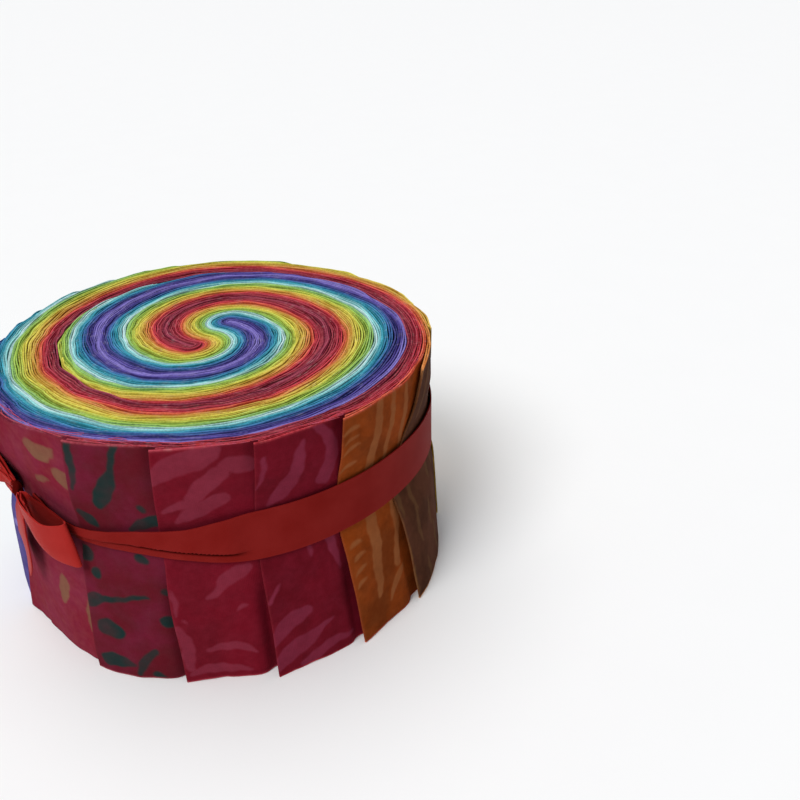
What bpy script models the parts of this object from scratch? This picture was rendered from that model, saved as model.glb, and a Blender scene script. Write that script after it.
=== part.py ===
"""A roll of printed cotton strips, wound from the middle and tied with a ribbon bow.

Run it with: blender --background --python part.py
Units are metres, +Z is up. The origin is under the middle of the roll, on the surface it rests on.
The front of the roll faces -Y. Azimuths are in degrees, seen from above, from +X towards +Y.
"""
import math

import bmesh
import bpy
from mathutils import Vector

MM = 0.001

# The strips: their cut width is the height of the roll
STRIP_WIDTH = 63.5 * MM
STRIP_COUNT = 20
STACK_THICKNESS = 16.1 * MM
STRIP_THICKNESS = STACK_THICKNESS / STRIP_COUNT

# The stack is wound clockwise about two pins, one stack apart, either side of its middle
WINDING_MIDDLE = Vector((-0.8 * MM, 1.6 * MM, 0.0))
PIN_AZIMUTH = 57.0
RIDGES_PER_STACK = 4
RIDGE_HEIGHT = 0.7 * MM

# Outline of the wound roll, a little uneven as it is wound by hand
OUTLINE = (
    # azimuth, radius in mm
    (0.0, 55.0),
    (45.0, 55.8),
    (90.0, 58.6),
    (135.0, 58.2),
    (180.0, 56.8),
    (225.0, 56.4),
    (270.0, 57.0),
    (315.0, 55.4),
)

# Free ends of the strips on the outside: each one's left edge lies over the strip to its left
FREE_ENDS = (
    # azimuth of the edge at the top, by the ribbon and at the bottom; mm it stands off above and below
    (199.0, 208.5, 206.0, 1.7, 0.8),
    (232.9, 232.2, 230.2, 0.3, 0.3),
    (253.9, 253.2, 252.6, 0.7, 1.0),
    (274.6, 272.4, 273.5, 0.6, 1.2),
    (295.6, 293.4, 298.0, 0.8, 1.0),
    (311.0, 312.0, 321.0, 0.6, 1.1),
    (331.0, 331.0, 333.0, 0.8, 0.9),
    (370.0, 371.0, 372.0, 0.9, 0.8),
    (395.0, 394.0, 396.0, 0.7, 1.0),
    (420.0, 419.0, 421.0, 0.8, 0.7),
    (454.5, 452.0, 450.0, 1.0, 0.9),
    (463.0, 465.0, 466.0, 0.8, 1.1),
    (475.0, 476.0, 478.0, 0.9, 0.8),
    (487.0, 486.0, 488.0, 0.7, 0.9),
    (501.0, 500.0, 499.0, 0.9, 0.7),
    (510.0, 511.0, 512.0, 0.8, 1.0),
    (522.0, 521.0, 523.0, 0.9, 0.8),
    (532.0, 533.0, 532.0, 0.7, 0.9),
    (541.0, 543.0, 542.0, 0.8, 0.7),
    (550.0, 551.0, 550.0, 0.6, 0.8),
)
COLUMNS_PER_STRIP = 4
EDGE_SPAN = 0.35
HELD_STEP = 0.45
LOOSE_CURVE = 0.7

# The two faces: the lower one is flat, with a rim a little off the surface
BOTTOM_RIM_RISE = 0.5 * MM
BOTTOM_UNEVEN = 0.4
BOTTOM_TURN = 2.4
FLAT_MARGIN = 3.0 * MM
TOP_RIM_DROP = 0.9 * MM
TOP_RIM_SHARE = 0.12
TOP_PLAIN_SHARE = 0.1
TOP_WAVE = 0.35 * MM
TOP_WAVES = 3.0
TOP_WAVE_START = 1.1
TOP_RINGS = 38
ROWS_BELOW_RIBBON = (0.0, 0.12, 0.28, 0.42)
ROWS_ABOVE_RIBBON = (0.82, 0.93, 1.0)
SMOOTH_ANGLE = 35.0

# The ribbon: it draws the roll in a little where it lies
RIBBON_WIDTH = 12.9 * MM
RIBBON_THICKNESS = 1.0 * MM
RIBBON_HEIGHT = 39.6 * MM
WAIST_DEPTH = 1.1 * MM
WAIST_REACH = 9.0 * MM
CLEARANCE = 0.35 * MM

# The knot sits on the wall at the left of the front
KNOT_AZIMUTH = 212.0
KNOT_HEIGHT = 43.2 * MM
KNOT_SIZE = (6.4 * MM, 4.0 * MM, 6.6 * MM)
KNOT_BACK = 0.42
KNOT_CREASES = 5.0
KNOT_CREASE_DEPTH = 0.08
KNOT_SIDES = 24
KNOT_RINGS = 14

# Height and width of the band as it runs round from one side of the knot to the other
BAND_SECTIONS = (
    # degrees on from the knot, middle height in mm, width in mm
    (3.9, 42.6, 3.6),
    (14.0, 38.6, 4.0),
    (28.0, 39.7, 5.2),
    (44.0, 39.3, 8.4),
    (61.0, 39.6, 12.9),
    (95.0, 39.5, 12.9),
    (145.0, 39.6, 12.9),
    (195.0, 39.9, 12.9),
    (245.0, 40.0, 12.9),
    (298.0, 39.9, 12.9),
    (322.0, 39.5, 10.4),
    (338.0, 39.2, 6.6),
    (349.0, 40.6, 4.4),
    (356.2, 42.4, 3.4),
)
BAND_STEP = 3.0

# Loops and free ends of the bow, as sections along the ribbon
FRONT_LOOP = (
    # mm along the wall from the knot, mm off the wall, height in mm, width in mm, lean in degrees
    (3.7, 2.3, 43.4, 3.4, 0.0),
    (6.5, 2.3, 41.9, 6.0, 4.0),
    (10.0, 2.3, 40.0, 8.8, 8.0),
    (13.5, 2.3, 38.8, 10.8, 10.0),
    (16.8, 2.5, 38.0, 11.6, 12.0),
    (18.0, 3.3, 37.8, 11.6, 12.0),
    (16.8, 4.4, 37.9, 11.6, 12.0),
    (13.0, 5.6, 38.2, 11.2, 10.0),
    (9.5, 6.0, 39.4, 9.6, 8.0),
    (6.5, 5.5, 41.0, 6.8, 4.0),
    (3.7, 4.2, 42.8, 3.6, 0.0),
)
BACK_LOOP = (
    (-3.9, 2.4, 45.4, 3.0, 0.0),
    (-8.0, 3.7, 47.4, 5.6, 6.0),
    (-13.0, 3.9, 49.4, 9.6, 12.0),
    (-18.0, 3.9, 50.8, 12.2, 14.0),
    (-21.6, 4.1, 51.6, 12.9, 14.0),
    (-23.0, 5.0, 51.8, 12.9, 14.0),
    (-21.6, 6.4, 51.4, 12.9, 14.0),
    (-17.0, 7.8, 50.2, 12.6, 14.0),
    (-12.0, 8.0, 48.8, 10.6, 12.0),
    (-8.0, 6.6, 47.4, 6.8, 6.0),
    (-3.9, 4.0, 46.2, 3.0, 0.0),
)
FRONT_TAIL = (
    (-0.6, 3.0, 39.2, 3.2, 88.0),
    (-2.0, 2.5, 36.0, 5.0, 86.0),
    (-4.0, 2.3, 31.5, 8.4, 80.0),
    (-6.6, 2.4, 27.0, 12.0, 66.0),
    (-9.6, 2.6, 22.6, 16.0, 53.0),
)
BACK_TAIL = (
    (-3.9, 2.2, 41.8, 2.8, 0.0),
    (-8.0, 2.2, 43.2, 4.6, 0.0),
    (-14.0, 2.2, 44.4, 8.6, 2.0),
    (-20.0, 2.2, 45.0, 11.8, 4.0),
    (-26.0, 2.3, 45.0, 13.0, -6.0),
    (-31.0, 2.5, 44.6, 14.5, -24.0),
)
LOOP_STEPS = 28
TAIL_STEPS = 12


def clear_scene():
    """Starts from an empty scene."""
    for obj in list(bpy.data.objects):
        bpy.data.objects.remove(obj, do_unlink=True)


def blend(a, b, t):
    """A value between two."""
    return a + (b - a) * t


def ease(t):
    """A soft step from 0 to 1."""
    t = min(max(t, 0.0), 1.0)
    return t * t * (3.0 - 2.0 * t)


def smooth_row(rows, place):
    """Reads a table along a smooth curve; place runs from 0 to the last row's number."""
    last = len(rows) - 1
    i = min(int(place), last - 1)
    t = place - i
    p0 = rows[max(i - 1, 0)]
    p1 = rows[i]
    p2 = rows[i + 1]
    p3 = rows[min(i + 2, last)]
    out = []
    for a, b, c, d in zip(p0, p1, p2, p3):
        slope_in = (c - a) / 2.0
        slope_out = (d - b) / 2.0
        out.append(
            (2 * t ** 3 - 3 * t ** 2 + 1) * b
            + (t ** 3 - 2 * t ** 2 + t) * slope_in
            + (-2 * t ** 3 + 3 * t ** 2) * c
            + (t ** 3 - t ** 2) * slope_out
        )
    return out


def outline_radius(azimuth):
    """Mean radius of the wound roll at an azimuth."""
    spacing = 360.0 / len(OUTLINE)
    place = (azimuth % 360.0) / spacing
    i = int(place) % len(OUTLINE)
    t = place - int(place)
    radii = [OUTLINE[(i + k) % len(OUTLINE)][1] for k in (-1, 0, 1, 2)]
    return smooth_row([(r,) for r in radii], 1.0 + t)[0] * MM


def waist(z):
    """How far the ribbon draws the wall in at a height."""
    off = abs(z - RIBBON_HEIGHT) - RIBBON_WIDTH / 2.0
    return WAIST_DEPTH * (1.0 - ease(off / WAIST_REACH))


def looseness(z):
    """0 under the ribbon, growing to 1 at the roll's two faces."""
    off = abs(z - RIBBON_HEIGHT) - RIBBON_WIDTH / 2.0
    room = STRIP_WIDTH - RIBBON_HEIGHT - RIBBON_WIDTH / 2.0
    return ease(off / room) ** LOOSE_CURVE


def edge_azimuth(end, z):
    """Azimuth of a free end's edge at a height."""
    top, middle, bottom = end[0], end[1], end[2]
    if z > RIBBON_HEIGHT:
        return blend(middle, top, (z - RIBBON_HEIGHT) / (STRIP_WIDTH - RIBBON_HEIGHT))
    return blend(middle, bottom, (RIBBON_HEIGHT - z) / RIBBON_HEIGHT)


def wall_columns(z):
    """Azimuth and radius of each column of the stepped wall at a height."""
    columns = []
    count = len(FREE_ENDS)
    for i, end in enumerate(FREE_ENDS):
        following = FREE_ENDS[(i + 1) % count]
        start = edge_azimuth(end, z)
        stop = edge_azimuth(following, z) + (360.0 if i + 1 == count else 0.0)
        if stop < start:
            stop += 360.0
        stop -= EDGE_SPAN
        step = blend(HELD_STEP, 1.0, looseness(z)) * STRIP_THICKNESS
        lift = end[3 if z > RIBBON_HEIGHT else 4] * MM * looseness(z)
        for k in range(COLUMNS_PER_STRIP):
            t = k / (COLUMNS_PER_STRIP - 1)
            azimuth = blend(start, stop, t)
            radius = outline_radius(azimuth) - waist(z) + step * (0.5 - t) + lift * (1.0 - t) ** 2
            columns.append((azimuth, radius))
    return columns


def ridge(x, y):
    """Height of the wound edges above their valleys: the turns are arcs about one pin or the other."""
    axis = Vector((math.cos(math.radians(PIN_AZIMUTH)), math.sin(math.radians(PIN_AZIMUTH)), 0.0))
    side = Vector((axis.y, -axis.x, 0.0))
    from_middle = Vector((x, y, 0.0)) - WINDING_MIDDLE
    pin = WINDING_MIDDLE - axis * STACK_THICKNESS / 2.0
    phase = 0.0
    if from_middle.dot(side) < 0.0:
        pin = WINDING_MIDDLE + axis * STACK_THICKNESS / 2.0
        phase = 1.0
    turns = (Vector((x, y, 0.0)) - pin).length / STACK_THICKNESS + phase
    return RIDGE_HEIGHT * 0.5 * (1.0 + math.cos(2.0 * math.pi * turns * RIDGES_PER_STACK))


def top_height(x, y, rim_share):
    """Height of the upper face at a place; rim_share is 0 at the middle and 1 at the rim."""
    azimuth = math.atan2(y, x)
    wave = TOP_WAVE * math.sin(TOP_WAVES * azimuth + TOP_WAVE_START) * rim_share
    drop = TOP_RIM_DROP * ease(1.0 - (1.0 - rim_share) / TOP_RIM_SHARE)
    fade = ease((1.0 - rim_share) / TOP_PLAIN_SHARE)
    return STRIP_WIDTH - RIDGE_HEIGHT + ridge(x, y) * fade + wave - drop


def wall_heights():
    """Heights of the rows of the wall, closer together at the ribbon."""
    half = RIBBON_WIDTH / 2.0
    below = [share * STRIP_WIDTH for share in ROWS_BELOW_RIBBON]
    above = [share * STRIP_WIDTH for share in ROWS_ABOVE_RIBBON]
    return below + [RIBBON_HEIGHT - half, RIBBON_HEIGHT + half] + above


def build_roll():
    """The wound strips: a stepped wall, a flat underside, and an upper face with its spiral."""
    bm = bmesh.new()
    rows = []
    heights = wall_heights()
    top_columns = wall_columns(STRIP_WIDTH)
    count = len(top_columns)
    for z in heights:
        row = []
        for j, (azimuth, radius) in enumerate(wall_columns(z)):
            a = math.radians(azimuth)
            x, y = radius * math.cos(a), radius * math.sin(a)
            height = z
            if z == 0.0:
                strip = j // COLUMNS_PER_STRIP
                height = BOTTOM_RIM_RISE * (1.0 - BOTTOM_UNEVEN * (1.0 - math.sin(BOTTOM_TURN * strip)))
            if z == STRIP_WIDTH:
                height = top_height(x, y, 1.0)
            row.append(bm.verts.new((x, y, height)))
        rows.append(row)
    for lower, upper in zip(rows, rows[1:]):
        for j in range(count):
            k = (j + 1) % count
            bm.faces.new((lower[j], lower[k], upper[k], upper[j]))

    rings = [rows[-1]]
    for i in range(TOP_RINGS - 1, 0, -1):
        share = i / TOP_RINGS
        ring = []
        for j, (azimuth, radius) in enumerate(top_columns):
            even = top_columns[0][0] + 360.0 * j / count
            a = math.radians(blend(even, azimuth, share ** 3))
            x, y = share * radius * math.cos(a), share * radius * math.sin(a)
            ring.append(bm.verts.new((x, y, top_height(x, y, share))))
        for j in range(count):
            k = (j + 1) % count
            bm.faces.new((rings[-1][j], rings[-1][k], ring[k], ring[j]))
        rings.append(ring)
    middle = bm.verts.new((0.0, 0.0, top_height(0.0, 0.0, 0.0)))
    for j in range(count):
        bm.faces.new((rings[-1][j], rings[-1][(j + 1) % count], middle))

    foot = []
    for azimuth, radius in wall_columns(0.0):
        a = math.radians(azimuth)
        inner = radius - FLAT_MARGIN
        foot.append(bm.verts.new((inner * math.cos(a), inner * math.sin(a), 0.0)))
    for j in range(count):
        k = (j + 1) % count
        bm.faces.new((foot[j], foot[k], rows[0][k], rows[0][j]))
    bm.faces.new(list(reversed(foot)))
    return make_object("strip_roll", bm, (0.42, 0.08, 0.14, 1.0), 0.85)


def make_object(name, bm, colour, roughness):
    """Turns a mesh under construction into a named object with its own material."""
    bm.normal_update()
    bmesh.ops.recalc_face_normals(bm, faces=bm.faces)
    mesh = bpy.data.meshes.new(name)
    bm.to_mesh(mesh)
    bm.free()
    obj = bpy.data.objects.new(name, mesh)
    bpy.context.scene.collection.objects.link(obj)
    material = bpy.data.materials.new(name)
    material.use_nodes = True
    shader = material.node_tree.nodes["Principled BSDF"]
    shader.inputs["Base Color"].default_value = colour
    shader.inputs["Roughness"].default_value = roughness
    shader.inputs["Metallic"].default_value = 0.0
    mesh.materials.append(material)
    mesh.shade_smooth()
    mesh.set_sharp_from_angle(angle=math.radians(SMOOTH_ANGLE))
    return obj


def ribbon_seat(azimuth):
    """Radius that clears the steps of the wall under the ribbon."""
    return outline_radius(azimuth) - WAIST_DEPTH + HELD_STEP * STRIP_THICKNESS / 2.0


def seat_point(azimuth, off_wall, z):
    """A point given by its azimuth, how far it stands off the wall, and its height."""
    a = math.radians(azimuth)
    radius = ribbon_seat(azimuth) + off_wall
    return Vector((radius * math.cos(a), radius * math.sin(a), z))


def loft_strip(name, middles, across, thickness, widths):
    """A thin closed strip through a row of places, each with the line that runs across it there."""
    bm = bmesh.new()
    sections = []
    count = len(middles)
    for i in range(count):
        before = middles[max(i - 1, 0)]
        after = middles[min(i + 1, count - 1)]
        along = (after - before).normalized()
        out = along.cross(across[i]).normalized()
        half_width = across[i] * widths[i] / 2.0
        half_depth = out * thickness / 2.0
        corners = (
            middles[i] - half_width - half_depth,
            middles[i] + half_width - half_depth,
            middles[i] + half_width + half_depth,
            middles[i] - half_width + half_depth,
        )
        sections.append([bm.verts.new(c) for c in corners])
    for first, second in zip(sections, sections[1:]):
        for k in range(4):
            n = (k + 1) % 4
            bm.faces.new((first[k], first[n], second[n], second[k]))
    bm.faces.new(list(reversed(sections[0])))
    bm.faces.new(sections[-1])
    return make_object(name, bm, (0.55, 0.03, 0.03, 1.0), 0.42)


def build_band():
    """The ribbon round the roll, drawn together where it runs into the knot."""
    middles, across, widths = [], [], []
    first = BAND_SECTIONS[0][0]
    last = BAND_SECTIONS[-1][0]
    steps = int((last - first) / BAND_STEP)
    row = 0
    for i in range(steps + 1):
        on = blend(first, last, i / steps)
        while row < len(BAND_SECTIONS) - 2 and on > BAND_SECTIONS[row + 1][0]:
            row += 1
        share = (on - BAND_SECTIONS[row][0]) / (BAND_SECTIONS[row + 1][0] - BAND_SECTIONS[row][0])
        _, height, width = smooth_row(BAND_SECTIONS, row + share)
        off_wall = CLEARANCE + RIBBON_THICKNESS / 2.0
        middles.append(seat_point(KNOT_AZIMUTH + on, off_wall, height * MM))
        across.append(Vector((0.0, 0.0, 1.0)))
        widths.append(width * MM)
    return loft_strip("ribbon_band", middles, across, RIBBON_THICKNESS, widths)


def build_bow_strip(name, table, steps):
    """A loop or a free end of the bow, from its table of sections."""
    middles, across, widths = [], [], []
    for i in range(steps + 1):
        place = (len(table) - 1) * i / steps
        along, off_wall, height, width, lean = smooth_row(table, place)
        azimuth = KNOT_AZIMUTH + math.degrees(along * MM / ribbon_seat(KNOT_AZIMUTH))
        middles.append(seat_point(azimuth, off_wall * MM, height * MM))
        a = math.radians(azimuth)
        tangent = Vector((-math.sin(a), math.cos(a), 0.0))
        tilt = math.radians(lean)
        across.append(Vector((0.0, 0.0, 1.0)) * math.cos(tilt) - tangent * math.sin(tilt))
        widths.append(width * MM)
    return loft_strip(name, middles, across, RIBBON_THICKNESS, widths)


def build_knot():
    """The knot: a small gathered lump, flat where it lies on the roll."""
    bm = bmesh.new()
    bmesh.ops.create_uvsphere(bm, u_segments=KNOT_SIDES, v_segments=KNOT_RINGS, radius=0.5)
    a = math.radians(KNOT_AZIMUTH)
    out = Vector((math.cos(a), math.sin(a), 0.0))
    tangent = Vector((-math.sin(a), math.cos(a), 0.0))
    back = KNOT_BACK * KNOT_SIZE[1]
    centre = seat_point(KNOT_AZIMUTH, CLEARANCE + back, KNOT_HEIGHT)
    for vert in bm.verts:
        turn = math.atan2(vert.co.y, vert.co.x)
        fold = (1.0 - abs(2.0 * vert.co.z)) * (1.0 + math.cos(KNOT_CREASES * turn))
        crease = 1.0 - KNOT_CREASE_DEPTH * fold
        spread = vert.co.x * KNOT_SIZE[0] * crease
        depth = max(vert.co.y * KNOT_SIZE[1] * crease, -back)
        rise = vert.co.z * KNOT_SIZE[2]
        vert.co = centre + tangent * spread + out * depth + Vector((0.0, 0.0, rise))
    return make_object("ribbon_knot", bm, (0.5, 0.025, 0.025, 1.0), 0.45)


def main():
    clear_scene()
    build_roll()
    build_band()
    build_knot()
    build_bow_strip("bow_loop_front", FRONT_LOOP, LOOP_STEPS)
    build_bow_strip("bow_loop_back", BACK_LOOP, LOOP_STEPS)
    build_bow_strip("bow_tail_front", FRONT_TAIL, TAIL_STEPS)
    build_bow_strip("bow_tail_back", BACK_TAIL, TAIL_STEPS)


main()
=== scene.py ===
"""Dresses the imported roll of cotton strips: the strips in their layers, the ribbon, its bow and the studio.

Lengths in the tables are in millimetres and angles in degrees, seen from above, from +X towards +Y.
"""
import math

import bpy
import numpy as np
from mathutils import Matrix, Vector


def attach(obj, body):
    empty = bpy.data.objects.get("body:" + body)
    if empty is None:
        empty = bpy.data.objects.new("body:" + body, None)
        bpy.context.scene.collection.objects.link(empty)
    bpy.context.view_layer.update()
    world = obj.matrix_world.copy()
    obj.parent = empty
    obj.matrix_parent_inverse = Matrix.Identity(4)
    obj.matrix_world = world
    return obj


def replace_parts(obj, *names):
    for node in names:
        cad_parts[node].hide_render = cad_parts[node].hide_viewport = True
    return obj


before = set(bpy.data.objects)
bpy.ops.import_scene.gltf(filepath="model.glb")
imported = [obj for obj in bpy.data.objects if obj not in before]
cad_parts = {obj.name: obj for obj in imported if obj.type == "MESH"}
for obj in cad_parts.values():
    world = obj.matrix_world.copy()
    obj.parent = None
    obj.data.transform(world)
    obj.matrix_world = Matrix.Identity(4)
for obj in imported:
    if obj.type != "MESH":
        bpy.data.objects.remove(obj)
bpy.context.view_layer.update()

bl_info = {
    "name": "Fabric Strip Roll",
    "version": (1, 0, 0),
    "blender": (4, 5, 0),
    "location": "View3D > Sidebar > Strip Roll",
    "description": "Winds a roll of printed cotton strips and ties it with a ribbon",
    "category": "Object",
}

MM = 0.001
STRIP_WIDTH = 63.5
STRIP_COUNT = 20

# The stack of strips is wound clockwise about two pins, one stack apart, either side of its middle
WINDING_MIDDLE = (-0.85, 2.36)
PIN_AZIMUTH = 50.3
OUTER_ARM_START = 1151.0
INNER_ARM_START = 611.0

# Over how many degrees a hidden end sinks, and the outer arm comes down past it
SINK_SPAN = 8.0
DROP_SPAN = 1.5

# The higher this is, the more of the fit to the outline is left to the outer turns
FIT_POWER = 1.46

OUTLINE = (
    # azimuth, radius
    (0, 55), (45, 55.8), (90, 58.6), (135, 58.2), (180, 56.8), (225, 56.4), (270, 57), (315, 55.4),
)

FREE_ENDS = (
    # azimuth of the edge at the top, by the ribbon and at the bottom; how far it stands off above and below
    (191, 207, 197, 3, 0.8), (232.5, 229.7, 230.3, 0.3, 0.3), (253.4, 251.4, 252.9, 0.7, 1),
    (274.7, 273.2, 273.9, 0.6, 1.6), (296, 293.9, 295.6, 0.8, 1.2), (329, 313.3, 315.8, 0.4, 1),
    (352, 353, 354, 0.2, 0.4), (370, 371, 372, 0.3, 0.8), (395, 394, 396, 0.2, 1),
    (420, 419, 421, 0.2, 0.7), (454.5, 452, 450, 0.2, 0.9), (463, 465, 466, 0.2, 1.1),
    (475, 476, 478, 0.2, 0.8), (487, 486, 488, 0.2, 0.9), (501, 500, 499, 0.2, 0.7),
    (510, 511, 512, 0.2, 1), (522, 521, 523, 0.2, 0.8), (532, 533, 532, 0.2, 0.9),
    (541, 543, 542, 0.2, 0.7), (549, 551, 549, 0.2, 0.5),
)

# Azimuth at which each strip's other end lies hidden, counted on over the turns of the inner arm
INNER_ENDS = (
    312, 296, 280, 262, 258, 254, 250, 236, 215, 195, 185, 171, 156, 140, 132, 118, 108, 90, 66, 37,
)

RIBBON_WIDTH = 12.9
RIBBON_HEIGHT = 38.9

# The wall: the step at a free edge, what is left of it under the ribbon, and how fast it grows free of it
OUTER_PITCH = 0.805
HELD_STEP = 0.45
LOOSE_CURVE = 0.7

# How far the ribbon draws the wall in, how far that reaches up and down, and how deep into the roll
WAIST_DEPTH = 1.1
WAIST_REACH = 9.0
GIVE_DEPTH = 7.0

# The dip along a free edge, its breadth in degrees on both sides of it, and the most that dips add up to
GROOVE = 0.8
GROOVE_BEFORE = 3.0
GROOVE_AFTER = 5.0
MOST_GROOVE = 1.6

# How deep into the roll it bulges, and over what height and how that grows above and below the ribbon
BULGE_DEPTH = 20.0
BULGE_RISE = 18.0
BULGE_FALL = 31.0
BULGE_CURVE = 1.2
BULGE = (
    # azimuth, how far the loose outer turns stand out at the top, by the ribbon and at the foot
    (0, 1.7, 1.7, 2.8), (20, 1, 1, 1.8), (45, 0, 0, 0.4), (90, 0, 0, 0), (160, 0, 0, 0),
    (180, 0.2, 0.4, 1.6), (192, 0.1, 0.3, 2), (202, 0, 0, 0.7), (210, 0, 0, 0.5), (224, 0, 0, 1.7),
    (232, 0, 0, 2.6), (242, 0, 0, 2.7), (248, 0, 0, 2), (254, 0, 0, 0.9), (262, 0, 0, 0.6),
    (270, 0, 0, 2.1), (278, 0, 0, 1.8), (286, 0, 0, 2.4), (296, 0, 0, 3.2), (304, 0.2, 0.2, 3),
    (311, 0.4, 0.4, 4.1), (318, 0.7, 0.7, 4), (329, 1.3, 1.3, 3.7), (341, 1.8, 1.9, 3.4),
)

# The upper face, and the share of its radius over which the rim rises or falls
FACE_TOP = 63.4
RIM_SHARE = 0.22
RIM_RISE = (
    # azimuth, how far the outer turns stand above the middle of the upper face
    (0, -0.3), (45, 0.1), (95, 0.7), (125, 0.7), (150, 0.3), (180, 0), (200, -0.6), (212, -0.9),
    (220, -0.6), (228, 0), (240, 0.4), (250, 0.6), (257, 0.3), (268, 0.1), (276, -0.3), (285, -0.1),
    (292, -0.4), (300, -1), (312, -1.5), (322, -1.9), (340, -1),
)

# Heights of the rows of points on the hidden layers and on those under the wall, as shares of the strip's
# width; a negative one is in millimetres, down from the top edge
HIDDEN_ROWS = (0.0, -1.2, 1.0)
WALL_ROWS = (0.0, 0.36, 0.51, 0.62, 0.74, 0.88, -1.2, 1.0)

# Steps along a layer, in half turns, and the most degrees that it turns between two rows of points
PATH_STEP = 0.0025
SHARP_TURN = 14.0

# The layer underneath, the strip's lining: how many degrees its ends lie behind, its mesh and its lift
LINING_BACK = 1.1
LINING_END = 1.5
LINING_STEP = 2.0
LINING_LIFT = 0.75

# How many degrees each strip's panel runs on under the next, and how its top corner drops
OVERLAP = 4.0
CORNER_DROP = 1.0
CORNER_REACH = 6.0

# Breadth of the colour of the cut edges and of the free edge, and of the soft edge of a mark
CUT_EDGE = 0.6
FREE_EDGE = 0.5
MARK_EDGE = 1.7

# The first strips have marks charted from the photo, and those in front have the finest mesh
CHARTED_STRIPS = 5
FRONT_STRIPS = 6

CROWDING = (
    # size, length across the layers, waves round the roll, and how much and how often these sway
    (0.20, 7.3, 5, 1.1, 3), (0.10, 3.9, -11, 1.7, 2), (0.05, 2.4, 23, 0, 0),
)

# The loose threads along the rim: how thick they are, and how far in and up they lie
THREAD_COUNT = 60
THREAD_POINTS = 10
THREAD_RADIUS = 0.06
THREAD_AZIMUTHS = (205.0, 332.0)
THREAD_INSIDE = (-0.2, 2.2)
THREAD_LENGTHS = (4.0, 12.0)
THREAD_HEIGHT = 0.3
MEAN_RADIUS = 56.0

# The knot: its size along the wall, out and up, its place along and off the wall, and its own cloth
KNOT_AZIMUTH = 212.0
KNOT_HEIGHT = 43.6
KNOT_SIZE = (3.0, 2.8, 4.6)
KNOT_PLACE = (-0.8, 2.4)
KNOT_CREASE = 0.05
KNOT_WAIST = 0.15
KNOT_CLOTH = (18.0, 10.0)

# The ribbon: how far its band clears the wall, its mesh, and how it lies where it is drawn narrow
CLEARANCE = 0.35
BAND_STEP = 0.9
RIBBON_ROWS = 61
PLEAT_GAP = 0.42
MOST_PLEATS = 2.4
ROUND_FOLD = 0.992
CRINKLE = 0.1
CROWN = 0.15
INSIDE_SHADE = 0.7

# On the band, the ribbon's lower edge is tucked up behind and shows below as a ridge this wide
RIDGE_WIDTH = 2.7
MOST_RIDGE = 0.46
MOST_TUCK = 0.9
BAND_SECTIONS = (
    # degrees on from the knot, middle height, width
    (3.9, 42.4, 3.4), (10, 39.4, 3.6), (17, 38, 3.7), (24, 38.1, 4.4), (33.6, 38.8, 6.2), (46.2, 38.6, 8.7),
    (53.6, 38.8, 11.4), (61, 38.9, 12.9), (95, 38.8, 12.9), (145, 38.9, 12.9), (195, 39.2, 12.9),
    (245, 39.3, 12.9), (298, 39.2, 12.9), (322, 38.9, 10.4), (338, 38.8, 6.6), (349, 40.2, 4.4),
    (356.2, 42.2, 3.4),
)
FRONT_LOOP = (
    # along the wall from the knot, off the wall, height, width, lean in degrees
    (1, 2.6, 42.6, 3.6, 0), (3, 2.3, 40.8, 8.4, 0), (6.5, 2.3, 38.9, 11.6, 4), (10, 2.3, 38.3, 12.4, 8),
    (13.5, 2.3, 37.6, 12.2, 10), (16.8, 2.5, 36.6, 12.2, 12), (18, 3.3, 36.5, 12.4, 12),
    (16.8, 4.4, 36.3, 12, 12), (13, 5.6, 36.9, 10.2, 10), (9.5, 6, 39.2, 9.4, 8), (6.5, 5.5, 41, 6.8, 4),
    (3.2, 4.6, 42.8, 3.4, 0), (1, 3.4, 43.2, 2.2, 0),
)
BACK_LOOP = (
    (-1.6, 2.2, 44.6, 3, 0), (-3.9, 2.1, 45.6, 3.6, 0), (-8, 2.6, 48.2, 5.2, 6), (-13, 3.2, 50.4, 9.6, 12),
    (-18, 3.6, 51.4, 12.2, 14), (-21.6, 4.1, 51.6, 12.9, 14), (-23, 5, 51.8, 12.9, 14),
    (-21.6, 6.4, 51.4, 12.9, 14), (-17, 7.8, 50.2, 12.6, 14), (-12, 8, 48.8, 10.6, 12),
    (-8, 6.4, 47.4, 6.4, 6), (-3.9, 3.8, 45.9, 2.8, 0), (-1.6, 3.2, 44.8, 2.4, 0),
)
FRONT_TAIL = (
    # the last column turns its far edge in to the wall
    (0, 3, 42, 2.4, 90, -5), (-0.4, 3.7, 38, 5, 88, -9), (-0.9, 4, 33.6, 7.6, 85, -12),
    (-1.5, 4.1, 29, 9.2, 78, -12), (-2.4, 3.9, 25.4, 9.8, 62, -14), (-3.5, 3.7, 22.8, 9.8, 44, -18),
)
BACK_TAIL = (
    (-1.6, 2.4, 42.6, 2.4, 0), (-3.9, 2.2, 42.4, 2.8, 0), (-8, 2.2, 43.2, 4.2, 0), (-14, 2.2, 44.4, 8.6, 2),
    (-20, 2.2, 45, 11.8, 4), (-26, 2.3, 45, 13, -6), (-31, 2.5, 44.6, 14.5, -24),
)

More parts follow.
